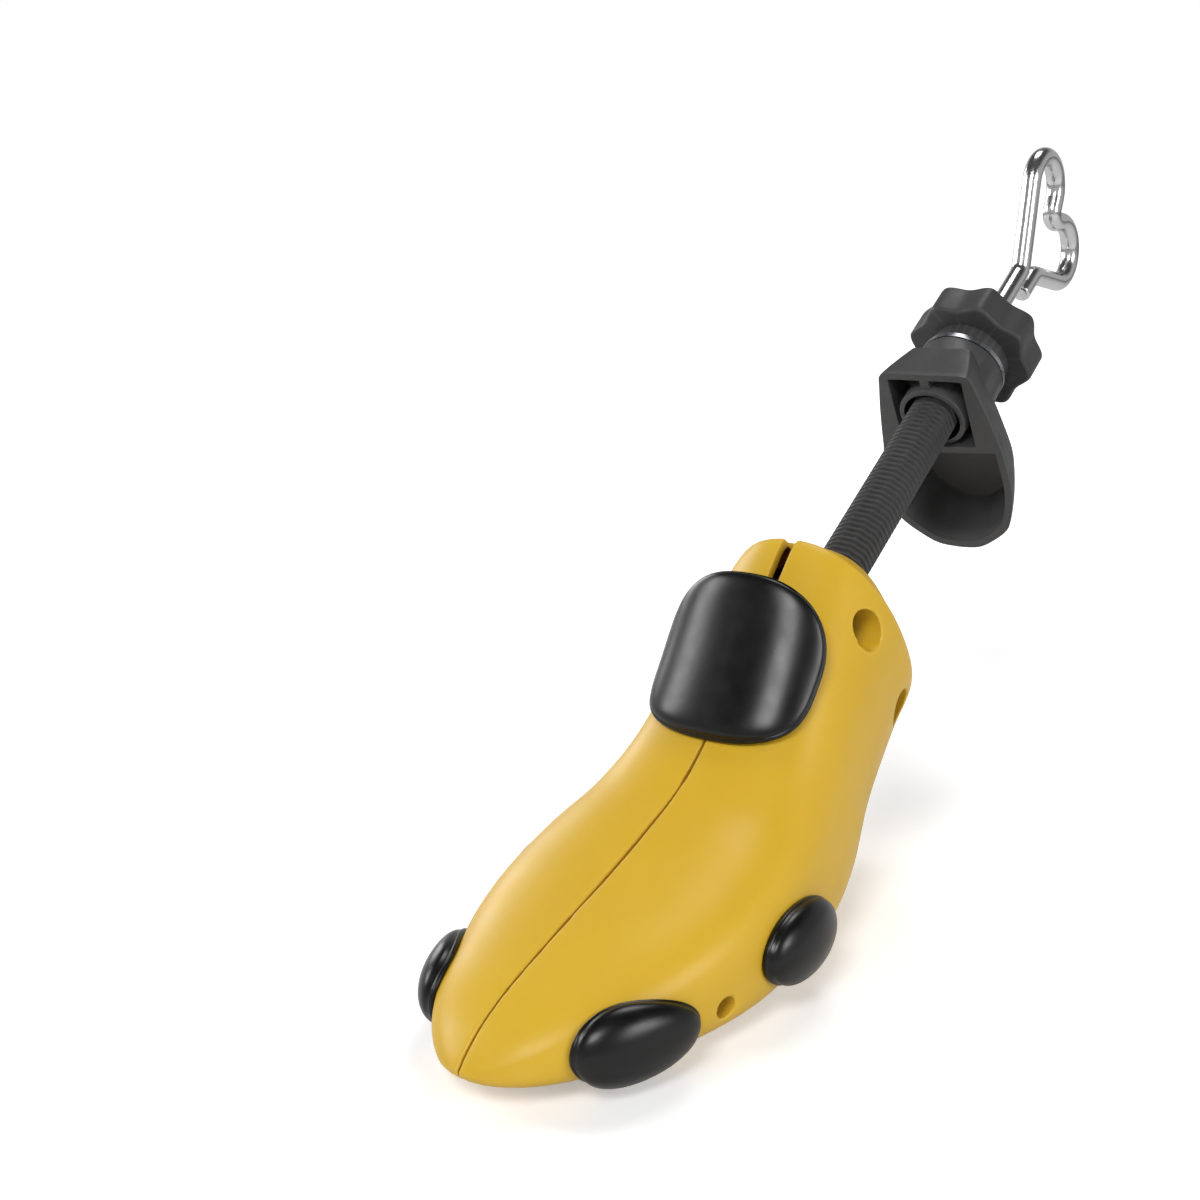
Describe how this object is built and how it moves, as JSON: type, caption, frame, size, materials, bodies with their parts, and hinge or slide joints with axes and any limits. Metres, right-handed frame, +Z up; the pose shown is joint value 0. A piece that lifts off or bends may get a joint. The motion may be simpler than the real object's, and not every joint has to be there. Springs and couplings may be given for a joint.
{
  "type": "two-way shoe stretcher",
  "caption": "Shoe stretcher with a split yellow last, black raised pads, a dark threaded tube, a knob-driven heel piece and a heart-shaped steel handle that spreads the last.",
  "frame": {"origin": "centre of the bounding box on the floor under the sole", "axes": "+X to the object's left, -Y towards the toe, +Z up; the sole lies on Z = 0"},
  "size_m": [0.091, 0.3364, 0.1975],
  "materials": {
    "yellow_plastic": "satin",
    "black_pad": "gloss",
    "dark_plastic": "satin",
    "chrome_steel": "polished",
    "zinc_steel": "satin",
    "brass": "satin"
  },
  "bodies": {
    "frame": {"neck_block": "dark_plastic", "neck_screws": "zinc_steel", "threaded_tube": "dark_plastic", "tube_end_bush": "dark_plastic", "instep_pad": "black_pad", "closing_spring": "zinc_steel"},
    "half_left": {"half_shell_left": "yellow_plastic", "toe_pad_left": "black_pad", "ball_pad_left": "black_pad", "spring_pin_left": "zinc_steel"},
    "half_right": {"half_shell_right": "yellow_plastic", "toe_pad_right": "black_pad", "ball_pad_right": "black_pad", "spring_pin_right": "zinc_steel"},
    "drive": {"drive_rod": "chrome_steel", "front_collar": "zinc_steel", "rod_clip": "zinc_steel", "thrust_washer": "brass"},
    "spreader": {"spreader_wedge": "dark_plastic", "spreader_nut": "brass"},
    "heel": {"heel_piece": "dark_plastic", "knob_washer": "zinc_steel"},
    "knob": {"length_knob": "dark_plastic", "knob_ring": "zinc_steel"}
  },
  "joints": [
    {"name": "handle_turn", "type": "hinge", "parent": "frame", "child": "drive", "pos_m": [0, -0.02042, 0.0702], "axis": [0, -0.8536, -0.521], "range_deg": [0, 4320]},
    {"name": "spreader_travel", "type": "slide", "parent": "frame", "child": "spreader", "axis": [0, 0.8536, 0.521], "range_m": [0, 0.018]},
    {"name": "half_left_swing", "type": "hinge", "parent": "frame", "child": "half_left", "pos_m": [0.009, -0.02042, 0.0702], "axis": [0, -0.521, 0.8536], "range_deg": [0, 4], "deforming": ["closing_spring"]},
    {"name": "half_right_swing", "type": "hinge", "parent": "frame", "child": "half_right", "pos_m": [-0.009, -0.02042, 0.0702], "axis": [0, 0.521, -0.8536], "range_deg": [0, 4]},
    {"name": "heel_travel", "type": "slide", "parent": "frame", "child": "heel", "axis": [0, 0.8536, 0.521], "range_m": [-0.05, 0]},
    {"name": "knob_turn", "type": "hinge", "parent": "heel", "child": "knob", "pos_m": [0, 0.08627, 0.13533], "axis": [0, 0.8536, 0.521], "range_deg": [-9000, 0]}
  ],
  "couplings": [
    {"joint": "spreader_travel", "follows": "handle_turn", "m_per_rad": 0.00023873},
    {"joint": "half_left_swing", "follows": "handle_turn", "ratio": 0.00092593},
    {"joint": "half_right_swing", "follows": "handle_turn", "ratio": 0.00092593},
    {"joint": "heel_travel", "follows": "knob_turn", "m_per_rad": 0.00031831}
  ]
}
